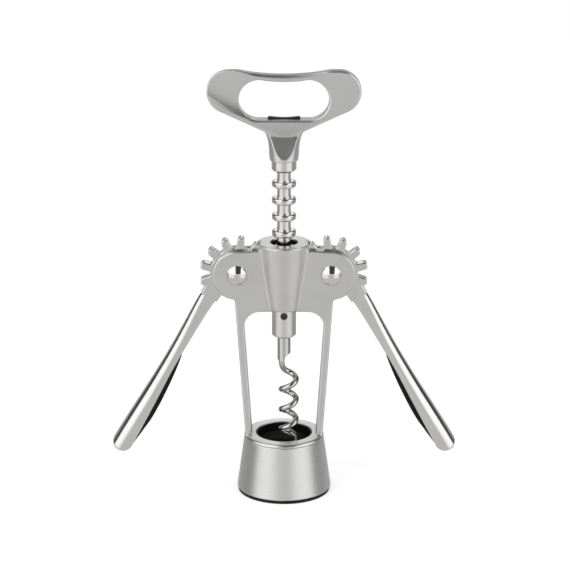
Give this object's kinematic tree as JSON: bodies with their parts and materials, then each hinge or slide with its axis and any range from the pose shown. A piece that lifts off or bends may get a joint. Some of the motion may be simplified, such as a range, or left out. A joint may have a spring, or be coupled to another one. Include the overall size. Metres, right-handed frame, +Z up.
{
  "type": "wing corkscrew",
  "caption": "Metal wing corkscrew: toothed levers lift a ring-rack spindle that carries the worm, with a loop handle that opens crown caps and a flared base that sits on a bottle.",
  "frame": {"origin": "middle of the foot that the tool stands on", "axes": "+Z up along the spindle, X along the spread of the wings, front towards -Y"},
  "size_m": [0.1572, 0.0428, 0.1978],
  "materials": {
    "satin_zinc": "satin-plated zinc die casting",
    "brushed_stainless": "spun stainless sheet, brushed round",
    "polished_steel": "turned and plated steel, polished",
    "hardened_steel": "dark hardened steel",
    "black_abs": "moulded black plastic",
    "black_rubber": "moulded soft black rubber"
  },
  "bodies": {
    "frame": {"frame_casting": "satin_zinc", "base_skirt": "brushed_stainless", "bottle_guide": "black_abs", "left_pivot_rivet": "polished_steel", "right_pivot_rivet": "polished_steel", "left_rivet_cap": "polished_steel", "right_rivet_cap": "polished_steel"},
    "bush": {"guide_bush": "black_abs"},
    "spindle": {"rack_spindle": "polished_steel", "worm": "polished_steel", "worm_pin": "polished_steel", "handle": "satin_zinc", "opener_lip": "hardened_steel", "handle_dowel": "polished_steel"},
    "left_wing": {"left_lever": "satin_zinc", "left_grip_pad": "black_rubber"},
    "right_wing": {"right_lever": "satin_zinc", "right_grip_pad": "black_rubber"}
  },
  "joints": [
    {"name": "spindle_turn", "type": "hinge", "parent": "frame", "child": "bush", "pos_m": [0, 0, 0.116], "axis": [0, 0, 1], "continuous": true},
    {"name": "rack_slide", "type": "slide", "parent": "bush", "child": "spindle", "axis": [0, 0, -1], "range_m": [0, 0.033]},
    {"name": "left_wing_hinge", "type": "hinge", "parent": "frame", "child": "left_wing", "pos_m": [-0.0211, 0, 0.104], "axis": [0, 1, 0], "range_deg": [0, 121]},
    {"name": "right_wing_hinge", "type": "hinge", "parent": "frame", "child": "right_wing", "pos_m": [0.0211, 0, 0.104], "axis": [0, -1, 0], "range_deg": [0, 121]}
  ],
  "couplings": [
    {"joint": "left_wing_hinge", "follows": "rack_slide", "rad_per_m": 63.596},
    {"joint": "right_wing_hinge", "follows": "rack_slide", "rad_per_m": 63.596}
  ]
}
